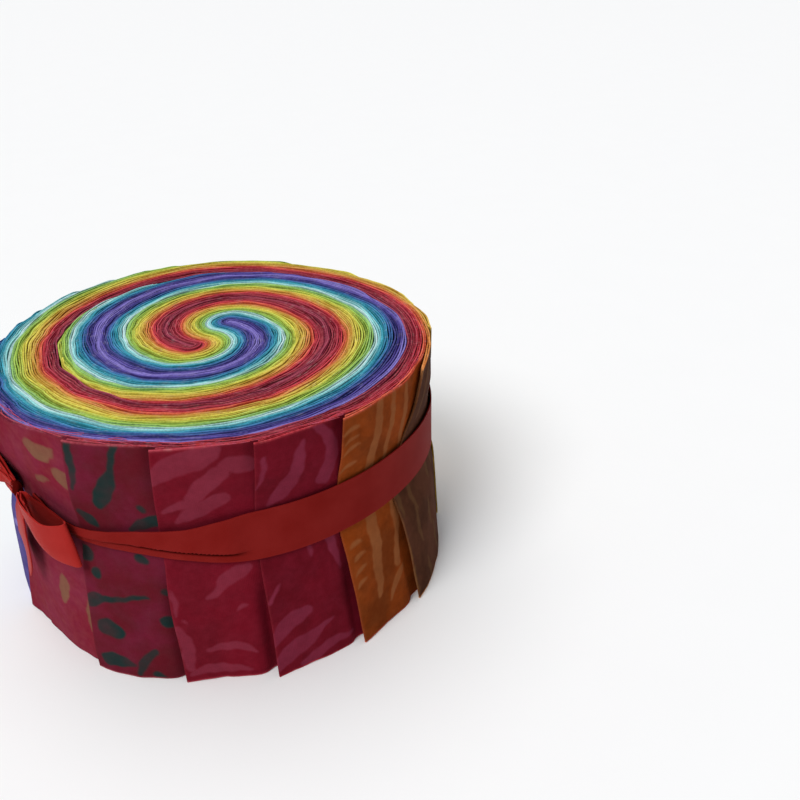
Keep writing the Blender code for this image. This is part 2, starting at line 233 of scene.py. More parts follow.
STRIPS = (
    # dye of the ground, of its clouds, of the marks and of the cut edges; how the marks are laid
    ("#7a1a2e", "#80283e", "#7c5440", "#86243c", "petals"),
    ("#601420", "#6c1a30", "#0e302e", "#8a2232", "spots"),
    ("#720f20", "#68101e", "#802b3c", "#961e32", "lobes"),
    ("#6e0f1f", "#600d1a", "#7e293e", "#ae2634", "curves"),
    ("#8e3e10", "#70300a", "#925630", "#d05034", "hatch"),
    # The next two strips' dark brown and olive grounds are partly their own dye, partly painted shade
    ("#583222", "#442416", "#604028", "#dc7c3a", "reeds"),
    ("#84601e", "#745018", "#a88440", "#e4a444", "leaves"),
    ("#cc9a2c", "#bc8828", "#e0bc58", "#e2b044", "leaves"),
    ("#b4a432", "#a4942e", "#d0c466", "#ccb840", "reeds"),
    ("#90a038", "#809030", "#bcc870", "#a8b440", "leaves"),
    ("#7c9a34", "#6c8a30", "#aebe68", "#8cac40", "curves"),
    ("#6ca04c", "#5c9044", "#9cc482", "#84b060", "leaves"),
    ("#7cbcb0", "#6cacaa", "#b4dcd4", "#a4d6cc", "leaves"),
    ("#62b4b8", "#50a2aa", "#a0d6d8", "#84ccd4", "reeds"),
    ("#2c8c9c", "#247888", "#68b4be", "#3a9cb0", "curves"),
    ("#1c7486", "#186476", "#509cae", "#24789a", "leaves"),
    ("#1f4a7c", "#1a3c68", "#4474a4", "#28568e", "curves"),
    ("#2a2c74", "#222460", "#5254a0", "#2a2c70", "leaves"),
    ("#4a3c8a", "#3c3076", "#7668b4", "#463a88", "curves"),
    ("#544a86", "#463e76", "#8478b2", "#6a5ea6", "lobes"),
)

# The camera that was fitted to the photo: its place in metres, and its right, up and back directions
CAMERA_PLACE = (0.0, -0.2219, 0.1594)
CAMERA_AXES = ((0.973, -0.231, -0.028), (0.133, 0.456, 0.880), (-0.191, -0.860, 0.474))
CAMERA_LENS = 40.5

# Marks of the prints on the strips in front, each a stroke with a bow to one side
MARKS = {
    "petals": (
        # along from the free edge and height, the same at the other end; how far it bows; its width at the
        # start, in the middle and at the end
        (25, 57.2, 27.8, 58.2, -0.2, 3.6, 5, 4), (27.8, 58.2, 33.4, 59, -0.3, 3.8, 2.6, 0.8),
        (28.8, 52.8, 31, 51.8, -0.3, 3.4, 5, 3.8), (31, 51.4, 33.2, 48.8, -0.2, 3.4, 2.2, 0.6),
        (18.6, 49.2, 24, 50.2, 0.4, 0.8, 1.6, 0.8), (17.2, 22.8, 18.2, 14.4, 0.8, 1, 3.8, 1.4),
        (27.6, 18.8, 28.8, 9.6, -0.8, 0.8, 2.2, 0.8),
    ),
    "spots": (
        (1.4, 64, 1.6, 51, 0.3, 2, 2.2, 1), (12.8, 65, 11, 56, 0.2, 2.2, 1.8, 1.8),
        (10.9, 57, 7.6, 47.8, 0.4, 1.8, 4.8, 2.2), (17.8, 48.4, 18, 47.6, 0, 1.8, 2, 1.6),
        (14.8, 41.4, 22, 44.8, 0.8, 1.6, 3.2, 2.8), (1.2, 44.4, 5.4, 41, 0, 1.8, 3, 1.8),
        (3.6, 28.6, 4.4, 27.6, 0, 2, 2.6, 2), (14.6, 33.6, 16.6, 33, 0, 1.8, 2.4, 1.8),
        (-0.6, 33.6, 2.2, 31.6, 0, 2.4, 3.4, 2), (1.4, 20.4, 4, 21.2, 0.3, 4.2, 3.4, 2),
        (3.4, 20.8, 16, 23.4, 0.5, 1.8, 1.6, 0.8), (3.6, 13.2, 7.4, 12.8, 0.4, 4, 5.2, 3.6),
        (3.4, 3.6, 10.4, 4.2, 0.6, 3.6, 3.8, 1.2), (11.2, 1.4, 16.4, 8, 0.6, 1.6, 2.2, 1.8),
        (20.2, 25.6, 20.8, 24.8, 0, 1.6, 1.8, 1.4), (19.6, 17.4, 20.8, 16.4, 0, 2.6, 3.2, 2.4),
        (15.2, 1.2, 16.8, 0.2, 0, 2, 2.6, 2),
    ),
    "lobes": (
        (-0.4, 56.4, 6, 60, 0.4, 2.4, 5, 5.2), (6, 60.2, 12.6, 61.8, 0, 4.8, 5.6, 4.2),
        (8, 50.6, 13.8, 56.2, 0.8, 3.2, 4.8, 4), (1.6, 47.4, 8, 49.6, 0.4, 1, 2.2, 3),
        (4.2, 44.2, 14.6, 49.8, 0.8, 1.4, 4, 3.4), (15.4, 58.2, 20.4, 57.6, 0.4, 3.2, 4.2, 3.6),
        (8, 24, 13, 28, -0.6, 0.6, 2, 3), (12.6, 27.6, 18.4, 30.4, 0, 2.8, 3.6, 2.6),
        (0.6, 27, 0.9, 20, 0.2, 0.4, 1.4, 0.6), (0.5, 16.6, 1.6, 4, 0.6, 1.6, 3, 1.8),
        (6.2, 9, 17, 7.2, 1.6, 1.2, 2.4, 0.8), (1.4, 2.4, 15, 1.8, 1.4, 1.4, 2.8, 0.6),
        (14.6, 19.6, 17, 21, 0.2, 0.5, 1.2, 0.4), (2.4, 18.6, 3.2, 17.6, 0, 0.4, 0.7, 0.4),
    ),
    "curves": (
        (11.2, 60.4, 9.4, 53.6, -0.3, 1.2, 2.8, 3.4), (9.4, 53.8, 2.8, 46, 0.9, 3.4, 4, 1.2),
        (14, 62.8, 18.2, 56.4, 1, 1.2, 2.8, 3.4), (18.2, 56.6, 16.6, 48.6, 0.8, 3.4, 4.2, 3.8),
        (1.9, 58.8, 0.5, 51.8, 0.3, 1.2, 1.4, 0.4), (0.6, 21.4, 3.4, 24.8, 0.3, 1.2, 0.9, 0.4),
        (-0.4, 10.6, 8.8, 15.8, 0.9, 2.8, 4.4, 2.6), (0.2, 3.6, 8, 7.4, 0.4, 3.4, 5, 4.4),
        (8, 7.4, 14.6, 10.2, 0.3, 4.2, 2.4, 0.5), (6.4, 0.8, 19.4, 3.6, 1.2, 2.6, 2.8, 0.9),
        (12, 31.4, 12.6, 28.8, 0, 0.9, 1.3, 0.4), (17.2, 33, 18.6, 23, 0.5, 2.6, 2.2, 0.5),
    ),
    "hatch": (
        (0.5, 58.4, 5, 58.4, 0.5, 0.7, 1.2, 0.5), (0.5, 55.6, 4.4, 56, 0.5, 0.5, 1, 0.4),
        (0.5, 53, 5.2, 53.8, 0.6, 0.7, 1.3, 0.5), (0.4, 48.2, 5, 48.8, 0.6, 0.7, 1.4, 0.5),
        (12.4, 63, 9.4, 44, 0.4, 2.4, 3.2, 2.8), (18, 62, 15.2, 44, 0.3, 1.6, 2, 1.2),
        (24, 62, 22, 44, 0.3, 1.2, 2.4, 1.4), (1.4, 26.6, 5.2, 26.8, 0.5, 0.6, 1.3, 0.5),
        (1.4, 23.2, 5.2, 23.8, 0.5, 0.6, 1.3, 0.5), (1.2, 19.4, 4.8, 20.4, 0.5, 0.6, 1.3, 0.5),
        (1.2, 16.2, 4.6, 17, 0.5, 0.6, 1.2, 0.5), (10, 33, 8.8, 20, 0.2, 3.8, 3.8, 3.4),
        (8.8, 20, 7.4, 10, 0.2, 3.4, 2.8, 1.8), (19.4, 33, 15.4, 14, 0.4, 3.4, 2.8, 2.2),
        (11.2, 6, 17, 12, 0.6, 1, 2.4, 1.6),
    ),
}


def rgb(text):
    """A dye written as a web colour, as linear red, green and blue."""
    values = [int(text[i:i + 2], 16) / 255.0 for i in (1, 3, 5)]
    return tuple(v / 12.92 if v <= 0.04045 else ((v + 0.055) / 1.055) ** 2.4 for v in values)


def ease(t):
    """A soft step from 0 to 1."""
    t = np.clip(t, 0.0, 1.0)
    return t * t * (3.0 - 2.0 * t)


def wander(x, seed, lengths, sizes):
    """A smooth value that wanders along a line, the same in each run."""
    rng = np.random.default_rng(seed)
    total = np.zeros_like(x, dtype=float)
    for length, size in zip(lengths, sizes):
        turn = rng.uniform(0.0, 2.0 * math.pi)
        total += size * np.sin(2.0 * math.pi * x / (length * rng.uniform(0.8, 1.25)) + turn)
    return total


def smooth_rows(rows, places):
    """Reads a table along a smooth curve; a place runs from 0 to the last row's number."""
    table = np.array(rows, dtype=float)
    last = len(table) - 1
    i = np.minimum(np.floor(places).astype(int), last - 1)
    t = (places - i)[:, None]
    p0, p1 = table[np.maximum(i - 1, 0)], table[i]
    p2, p3 = table[i + 1], table[np.minimum(i + 2, last)]
    start, end = (p2 - p0) / 2.0, (p3 - p1) / 2.0
    rise = 3 * t ** 2 - 2 * t ** 3
    return p1 + rise * (p2 - p1) + (t ** 3 - 2 * t ** 2 + t) * start + (t ** 3 - t ** 2) * end


def read_round(rows, azimuth):
    """Reads a table with an azimuth in its first column, in straight stretches all the way round."""
    table = np.array(rows)
    return [np.interp(azimuth % 360.0, table[:, 0], column, period=360.0) for column in table.T[1:]]


def outline_radius(azimuth):
    """Mean radius of the wound roll."""
    radii = [r for _, r in OUTLINE]
    rows = [(r,) for r in radii[-1:] + radii + radii[:2]]
    places = 1.0 + (azimuth % 360.0) * len(OUTLINE) / 360.0
    return smooth_rows(rows, np.ravel(places))[:, 0].reshape(np.shape(azimuth))


def bulge(azimuth, z=RIBBON_HEIGHT):
    """How far the loose outer turns stand out at a height."""
    top, middle, foot = read_round(BULGE, azimuth)
    gap = ribbon_gap(azimuth, z)
    above = np.where(z > RIBBON_HEIGHT, ease(gap / BULGE_RISE), 0.0)
    below = np.where(z > RIBBON_HEIGHT, 0.0, np.clip(gap / BULGE_FALL, 0.0, 1.0) ** BULGE_CURVE)
    return middle + (top - middle) * above + (foot - middle) * below


def ribbon_gap(azimuth, z):
    """How far above or below the ribbon a place on the wall is."""
    table = np.array(BAND_SECTIONS)
    on = (azimuth - KNOT_AZIMUTH) % 360.0
    height, width = (np.interp(on, table[:, 0], table[:, k]) for k in (1, 2))
    return np.abs(z - height) - width / 2.0


def waist(azimuth, z):
    """How far the ribbon draws the wall in."""
    return WAIST_DEPTH * (1.0 - ease(ribbon_gap(azimuth, z) / WAIST_REACH))


def looseness(azimuth, z):
    """0 under the ribbon, growing to 1 at the roll's two faces."""
    room = STRIP_WIDTH - RIBBON_HEIGHT - RIBBON_WIDTH / 2.0
    return ease(ribbon_gap(azimuth, z) / room) ** LOOSE_CURVE


def edge_azimuth(strip, z):
    """Azimuth of a strip's free edge at a height; the strip after the last is the first, one turn on."""
    top, middle, bottom = FREE_ENDS[strip % STRIP_COUNT][:3]
    turn = 360.0 * (strip // STRIP_COUNT)
    above = np.maximum((z - RIBBON_HEIGHT) / (STRIP_WIDTH - RIBBON_HEIGHT), 0.0)
    below = np.maximum((RIBBON_HEIGHT - z) / RIBBON_HEIGHT, 0.0)
    return turn + middle + (top - middle) * above + (bottom - middle) * below


def cover(azimuth, z):
    """Strips counted smoothly from one free edge to the next, and on from turn to turn."""
    edges = [edge_azimuth(k, z) for k in range(STRIP_COUNT + 1)]
    turn = np.floor((azimuth - edges[0]) / 360.0)
    place = azimuth - 360.0 * turn
    total = 1.0 + STRIP_COUNT * turn
    for a, b in zip(edges, edges[1:]):
        total = total + np.clip((place - a) / (b - a), 0.0, 1.0)
    return total


def groove(azimuth, z):
    """How far the cloth dips in beside and under the free edges."""
    total = np.zeros(np.broadcast(azimuth, z).shape)
    for strip, row in enumerate(FREE_ENDS):
        away = (azimuth - edge_azimuth(strip, z) + 180.0) % 360.0 - 180.0
        near = np.where(away < 0.0, ease(1.0 + away / GROOVE_BEFORE), ease(1.0 - away / GROOVE_AFTER))
        total += near * np.where(z > RIBBON_HEIGHT, row[3], row[4])
    return GROOVE * np.minimum(total, MOST_GROOVE) * looseness(azimuth, z)


def inner_drop(heading, pitch):
    """How far the outer arm drops inwards where strips of the inner arm have ended beneath it."""
    total = np.zeros_like(heading)
    for end in INNER_ENDS:
        for turn in (360.0, 0.0):
            total += ease((end + turn + SINK_SPAN - heading) / (SINK_SPAN + DROP_SPAN))
    return total * pitch


def arm_place(turns, share, stack, outer):
    """Place after some half turns of a layer at a share of the stack, on the outer or the inner arm."""
    arm = 1.0 if outer else -1.0
    whole = np.floor(turns)
    pin = np.where(whole % 2 == 0, -arm, arm) * stack / 2.0
    heading = PIN_AZIMUTH + (0.0 if outer else 180.0) - 180.0 * turns
    radius = (whole + 0.5 + arm * (share - 0.5)) * stack
    if outer:
        radius = radius - inner_drop(OUTER_ARM_START - 180.0 * turns, stack / STRIP_COUNT)
    along = math.radians(PIN_AZIMUTH)
    x = WINDING_MIDDLE[0] + pin * math.cos(along) + radius * np.cos(np.radians(heading))
    y = WINDING_MIDDLE[1] + pin * math.sin(along) + radius * np.sin(np.radians(heading))
    return x, y


def unwound(x, y, near):
    """Azimuth of a place, on the turn nearest to a given one."""
    azimuth = np.degrees(np.arctan2(y, x))
    return azimuth + 360.0 * np.round((near - azimuth) / 360.0)


class Winding:
    """The ideal winding, and how it is fitted to the roll's outline."""

    def __init__(self, stack):
        self.stack = stack
        first = float(edge_azimuth(0, RIBBON_HEIGHT))
        margin = 8.0
        heading = np.linspace(first - margin, first + 360.0 + margin, 1500)
        azimuth = heading
        for _ in range(4):
            share = cover(azimuth, RIBBON_HEIGHT) / STRIP_COUNT
            x, y = arm_place((OUTER_ARM_START - heading) / 180.0, share, stack, True)
            azimuth = unwound(x, y, heading)
        keep = (azimuth >= first) & (azimuth <= first + 360.0)
        self.first = first
        self.azimuths = azimuth[keep]
        self.tops = np.hypot(x, y)[keep]

    def top(self, azimuth):
        """Radius of the outermost cloth in the ideal winding."""
        place = self.first + (azimuth - self.first) % 360.0
        return np.interp(place, self.azimuths, self.tops)

    def fitted(self, x, y):
        """Azimuth and radius of a place once the roll has its real outline."""
        radius = np.hypot(x, y)
        azimuth = np.degrees(np.arctan2(y, x))
        top = self.top(azimuth)
        spare = outline_radius(azimuth) + OUTER_PITCH / 2.0 - top
        return azimuth, radius + spare * (radius / top) ** FIT_POWER


def layer_path(winding, share, outer_end, inner_end):
    """Azimuth, radius and length along one layer, from its hidden end to its free edge."""
    inner = np.arange((INNER_ARM_START - inner_end) / 180.0, 0.0, -PATH_STEP)
    outer = np.arange(0.0, (OUTER_ARM_START - outer_end) / 180.0 + 0.1, PATH_STEP)
    sunk = ease((inner_end + SINK_SPAN - INNER_ARM_START + 180.0 * inner) / SINK_SPAN) / STRIP_COUNT
    xi, yi = arm_place(inner, share + sunk, winding.stack, False)
    xo, yo = arm_place(outer, share, winding.stack, True)
    x, y = np.concatenate([xi, xo]), np.concatenate([yi, yo])
    azimuth, radius = winding.fitted(x, y)
    azimuth = np.degrees(np.unwrap(np.radians(azimuth)))
    azimuth += 360.0 * np.round((outer_end - azimuth[-1]) / 360.0)
    x, y = radius * np.cos(np.radians(azimuth)), radius * np.sin(np.radians(azimuth))
    length = np.concatenate([[0.0], np.cumsum(np.hypot(np.diff(x), np.diff(y)))])
    return azimuth, radius, length


def even_steps(azimuth, radius, length, step):
    """Picks places along a path, one step apart and closer where it turns sharply."""
    x, y = radius * np.cos(np.radians(azimuth)), radius * np.sin(np.radians(azimuth))
    heading = np.unwrap(np.arctan2(np.diff(y), np.diff(x)))
    bend = np.abs(np.diff(heading, append=heading[-1]))
    effort = np.diff(length) / step + bend / math.radians(SHARP_TURN)
    total = np.concatenate([[0.0], np.cumsum(effort)])
    count = max(int(total[-1]), 2)
    return np.interp(np.linspace(0.0, total[-1], count + 1), total, np.arange(len(length)))


def face_height(azimuth, radius, along, strip, layer):
    """Height of a layer's top edge on the upper face."""
    share = radius / outline_radius(azimuth)
    rim = read_round(RIM_RISE, azimuth)[0] * ease(1.0 - (1.0 - share) / RIM_SHARE)
    own = np.random.default_rng(50 + 2 * strip + layer).uniform(-0.12, 0.12)
    uneven = wander(along, 100 + strip, (61.0, 27.0), (0.12, 0.09))
    uneven += wander(along, 300 + 2 * strip + layer, (33.0, 12.0), (0.05, 0.03))
    return FACE_TOP + rim + own + uneven


def foot_height(along, strip, layer):
    """Height of a layer's lower edge."""
    return 0.12 + np.abs(wander(along, 500 + 2 * strip + layer, (29.0, 9.0), (0.1, 0.06)))


def crowding(azimuth, radius, depth):
    """How far the layers bunch up and wander from an even winding."""
    a = np.radians(azimuth)
    waves = 0.0
    for size, length, count, sway, sways in CROWDING:
        waves = waves + size * np.sin(2.0 * math.pi * radius / length + count * a + sway * np.sin(sways * a))
    return waves * ease(depth / 4.0) * ease(radius / 14.0)


def wall_radius(azimuth, radius, z):
    """Radius of a layer near the wall: drawn in by the ribbon, and stepped as the free edges lie."""
    depth = np.maximum(outline_radius(azimuth) - radius, 0.0)
    give = 1.0 - ease(depth / GIVE_DEPTH)
    shift = -OUTER_PITCH * (cover(azimuth, z) - cover(azimuth, RIBBON_HEIGHT))
    held = (1.0 - HELD_STEP) * (1.0 - looseness(azimuth, z)) * OUTER_PITCH
    under = np.clip(depth / OUTER_PITCH, 0.0, 1.0) - 0.5
    loose = bulge(azimuth, z) * (1.0 - ease(depth / BULGE_DEPTH))
    inwards = waist(azimuth, z) + groove(azimuth, z)
    return radius + crowding(azimuth, radius, depth) + loose + give * (shift - inwards + held * under)


def on_wall(azimuth, radius, z):
    """Points from their azimuths, radii and heights."""
    a = np.radians(azimuth)
    return np.stack([radius * np.cos(a), radius * np.sin(a), z], -1)


class Grids:
    """Collects sheets of points, and turns them into one mesh object with its thickness."""

    def __init__(self):
        self.points, self.places, self.marks, self.quads = [], [], [], []
        self.count = 0

    def add(self, points, places, marks):
        rows, columns = points.shape[:2]
        index = self.count + np.arange(rows * columns).reshape(rows, columns)
        quads = np.stack([index[:-1, :-1], index[:-1, 1:], index[1:, 1:], index[1:, :-1]], -1)
        self.quads.append(quads.reshape(-1, 4))
        self.points.append(points.reshape(-1, 3))
        self.places.append(places.reshape(-1, 2))
        self.marks.append(marks.reshape(-1, 3))
        self.count += rows * columns

    def build(self, name, thickness):
        points = np.concatenate(self.points) * MM
        quads = np.concatenate(self.quads)
        mesh = bpy.data.meshes.new(name)
        mesh.from_pydata(points.tolist(), [], quads.tolist())
        uv = mesh.uv_layers.new(name="cloth")
        uv.data.foreach_set("uv", (np.concatenate(self.places) * MM)[quads.ravel()].ravel())
        tint = mesh.attributes.new("print", "FLOAT_COLOR", "POINT")
        marks = np.concatenate(self.marks)
        tint.data.foreach_set("color", np.hstack([marks, np.ones((len(marks), 1))]).ravel())
        mesh.update()
        obj = bpy.data.objects.new(name, mesh)
        bpy.context.scene.collection.objects.link(obj)
        pick(obj)
        solid = obj.modifiers.new("Thickness", "SOLIDIFY")
        solid.thickness = thickness
        solid.offset = 0.0
        bpy.ops.object.modifier_apply(modifier=solid.name)
        bpy.ops.object.shade_smooth_by_angle(angle=math.radians(40.0))
        return obj


def pick(obj):
    """Selects one object alone and makes it the active one."""
    bpy.ops.object.select_all(action="DESELECT")
    obj.select_set(True)
    bpy.context.view_layer.objects.active = obj


def scattered_marks(kind, seed):
    """Strokes for a strip on the hidden sides, laid in the manner of its print."""
    rng = np.random.default_rng(seed)
    rows = []
    for s in np.arange(0.0, 44.0, 8.5):
        for z in np.arange(2.0, 66.0, 11.0):
            s0, z0 = s + rng.uniform(-2.0, 2.0), z + rng.uniform(-2.5, 2.5)
            if kind == "leaves":
                lean = rng.uniform(0.0, 360.0)
                for k in range(5):
                    a = math.radians(lean + 26.0 * (k - 2))
                    reach = rng.uniform(4.0, 6.5)
                    start = (s0 + 1.6 * math.cos(a), z0 + 1.6 * math.sin(a))
                    end = (s0 + reach * math.cos(a), z0 + reach * math.sin(a))
                    rows.append((*start, *end, 0.3 * (k - 2), 0.5, 1.5, 0.4))
            elif kind == "reeds":
                reach = rng.uniform(6.0, 12.0)
                end = (s0 + rng.uniform(-1.5, 1.5), z0 + reach)
                rows.append((s0, z0, *end, rng.uniform(-1.0, 1.0), 0.6, 1.8, 0.5))
            else:
                a = rng.uniform(0.0, math.pi)
                reach = rng.uniform(4.5, 8.0)
                wide = rng.uniform(1.6, 3.2)
                end = (s0 + reach * math.cos(a), z0 + reach * math.sin(a))
                rows.append((s0, z0, *end, rng.uniform(-2.0, 2.0), 0.7, wide, 0.7))
    return rows


def mark_amount(along, z, rows):
    """How much of a print's marks shows at each place: 0 outside, 1 inside, with soft wax edges."""
    s = along + wander(z, 7, (9.0, 3.7), (0.25, 0.12))
    h = z + wander(along, 8, (8.0, 3.1), (0.25, 0.12))
    best = np.full(s.shape, -9.0)
    for s0, z0, s1, z1, bow, start, middle, end in rows:
        length = max(math.hypot(s1 - s0, z1 - z0), 0.01)
        across = (-(z1 - z0) / length, (s1 - s0) / length)
        reach = length / 2 + 6.0
        near = (np.abs(s - (s0 + s1) / 2) < reach) & (np.abs(h - (z0 + z1) / 2) < reach)
        t = np.linspace(0.0, 1.0, 13)
        side = 4.0 * bow * t * (1.0 - t)
        cs, cz = s0 + (s1 - s0) * t + across[0] * side, z0 + (z1 - z0) * t + across[1] * side
        swell = 2 * middle - 0.5 * (start + end)
        half = 0.5 * ((1 - t) ** 2 * start + 2 * t * (1 - t) * swell + t ** 2 * end)
        for k in range(12):
            ds, dz = cs[k + 1] - cs[k], cz[k + 1] - cz[k]
            on = ((s[near] - cs[k]) * ds + (h[near] - cz[k]) * dz) / max(ds * ds + dz * dz, 0.0001)
            on = np.clip(on, 0.0, 1.0)
            away = np.hypot(s[near] - cs[k] - on * ds, h[near] - cz[k] - on * dz)
            best[near] = np.maximum(best[near], half[k] + (half[k + 1] - half[k]) * on - away)
    return ease(best / MARK_EDGE + 0.5)


def worn_tone(length, strip, layer):
    """How pale a layer's cut edge is along its length."""
    own = np.random.default_rng(1300 + 2 * strip + layer).uniform(0.1, 0.9)
    drift = wander(length, 1400 + 2 * strip + layer, (47.0, 17.0, 6.0), (0.24, 0.16, 0.08))
    return np.clip(own + drift, 0.0, 1.0)


def wound_patch(grids, path, places, z_rows, strip, layer):
    """A stretch of one layer that lies inside the roll."""
    azimuth, radius, length = (np.interp(places, np.arange(len(p)), p) for p in path)
    top = face_height(azimuth, radius, length, strip, layer)
    foot = foot_height(length, strip, layer)
    wobble = wander(length, 700 + 2 * strip + layer, (23.0, 9.0), (0.07, 0.03))
    worn = worn_tone(length, strip, layer)
    rows, spots, marks = [], [], []
    for z_share in z_rows:
        z = top + z_share if z_share < 0.0 else foot + (top - foot) * z_share
        r = wall_radius(azimuth, radius, np.minimum(z, STRIP_WIDTH))
        if z_share == 1.0:
            r = r + wobble
        rows.append(on_wall(azimuth, r, z))
        spots.append(np.stack([length, z], -1))
        edge = np.full_like(z, 1.0 if z_share in (0.0, 1.0) else 0.0)
        marks.append(np.stack([np.zeros_like(z), worn, edge], -1))
    grids.add(np.stack(rows), np.stack(spots), np.stack(marks))


def panel_patch(grids, path, strip, layer, step, rows_of_marks, reach):
    """The part of a layer that shows on the wall, from its free edge to where the next strip covers it."""
    order = np.argsort(path[0])
    azimuth_at, radius_at, length_at = (p[order] for p in path)
    lift_top, lift_foot = FREE_ENDS[strip][3:]
    width = float(outline_radius(reach)) * math.radians(reach - FREE_ENDS[strip][1])
    columns = max(int(width / step), 3) + 1
    rows = max(int(STRIP_WIDTH / step), 10) + 1
    t = np.linspace(0.0, 1.0, columns)[None, :]
    share = np.linspace(0.0, 1.0, rows)[:, None]
    z = share * STRIP_WIDTH + 0.0 * t
    start = edge_azimuth(strip, z) + (0.0 if layer else LINING_BACK)
    start = start + wander(z, 900 + strip, (47.0, 19.0), (0.12, 0.06))
    azimuth = start + (reach - start) * t
    radius = np.interp(azimuth, azimuth_at, radius_at)
    length = np.interp(azimuth, azimuth_at, length_at)
    along = np.radians(azimuth - start) * outline_radius(azimuth)
    top = face_height(azimuth, radius, length, strip, layer)
    if strip >= CHARTED_STRIPS:
        top = top - CORNER_DROP * ease(1.0 - along / CORNER_REACH)
    foot = foot_height(length, strip, layer)
    z = foot + (top - foot) * share
    radius = wall_radius(azimuth, radius, np.minimum(z, STRIP_WIDTH))
    following = edge_azimuth(strip + 1, z)
    clear = np.clip(1.0 - (azimuth - start) / (following - start), 0.0, 1.0)
    free_side = looseness(azimuth, z)
    lift = np.where(z > RIBBON_HEIGHT, lift_top, lift_foot) * free_side * clear ** 2
    lift = lift + groove(azimuth, z) * ease(clear / 0.5)
    radius = radius + lift * (1.0 if layer else LINING_LIFT)
    radius = radius + wander(length, 950 + strip, (13.0, 6.0), (0.07, 0.04)) * free_side
    mark = mark_amount(along, z, rows_of_marks) if layer else np.zeros_like(z)
    # The pale line at the free edge is partly the frayed cut edge and partly a painted highlight
    free = ease(1.0 - along / FREE_EDGE)
    edge = np.maximum(ease(1.0 - (top - z) / CUT_EDGE), ease(1.0 - (z - foot) / FREE_EDGE))
    worn = np.maximum(worn_tone(length, strip, layer), 0.8 * free)
    marks = np.stack([mark, worn, np.maximum(edge, 0.1 * free)], -1)
    grids.add(on_wall(azimuth, radius, z), np.stack([length, z], -1), marks)


def wind_strip(winding, strip, settings):
    """One strip of cotton, folded double: both of its layers, from the hidden end to the free edge."""
    grids = Grids()
    kind = STRIPS[strip][4]
    rows_of_marks = MARKS[kind] if strip < CHARTED_STRIPS else scattered_marks(kind, 1100 + strip)
    wall_step = (settings.front_step if strip < FRONT_STRIPS else settings.side_step) / MM
    following = max(float(edge_azimuth(strip + 1, z)) for z in (0.0, RIBBON_HEIGHT, STRIP_WIDTH))
    reach = following + OVERLAP
    for layer in (0, 1):
        share = (strip + (layer + 0.5) / 2.0) / STRIP_COUNT
        inner_end = INNER_ENDS[strip] + (0.0 if layer else LINING_END)
        path = layer_path(winding, share, min(FREE_ENDS[strip][:3]) - 6.0, inner_end)
        azimuth, radius, length = path
        hidden = np.nonzero(azimuth > reach)[0]
        end = hidden[-1] + 1 if len(hidden) else len(azimuth)
        exact = np.interp(reach, azimuth[end - 1:end + 1][::-1], np.array([end - 1, end])[::-1])
        places = even_steps(azimuth[:end], radius[:end], length[:end], settings.plain_step / MM)
        places[-1] = exact
        at_azimuth, at_radius = (np.interp(places, np.arange(len(p)), p) for p in (azimuth, radius))
        near = outline_radius(at_azimuth) - at_radius < GIVE_DEPTH + 0.5
        cut = int(np.argmax(near)) if near.any() else len(places) - 1
        if cut > 1:
            wound_patch(grids, path, places[:cut + 1], HIDDEN_ROWS, strip, layer)
        if cut < len(places) - 1:
            wound_patch(grids, path, places[cut:], WALL_ROWS, strip, layer)
        step = wall_step if layer else LINING_STEP
        panel_patch(grids, path, strip, layer, step, rows_of_marks, reach)
    name = f"strip_{strip + 1:02d}"
    obj = grids.build(name, settings.cloth_thickness)
    obj.data.materials.append(cotton(name, settings.strips[strip], strip))
    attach(obj, "root")
    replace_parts(obj, "strip_roll")


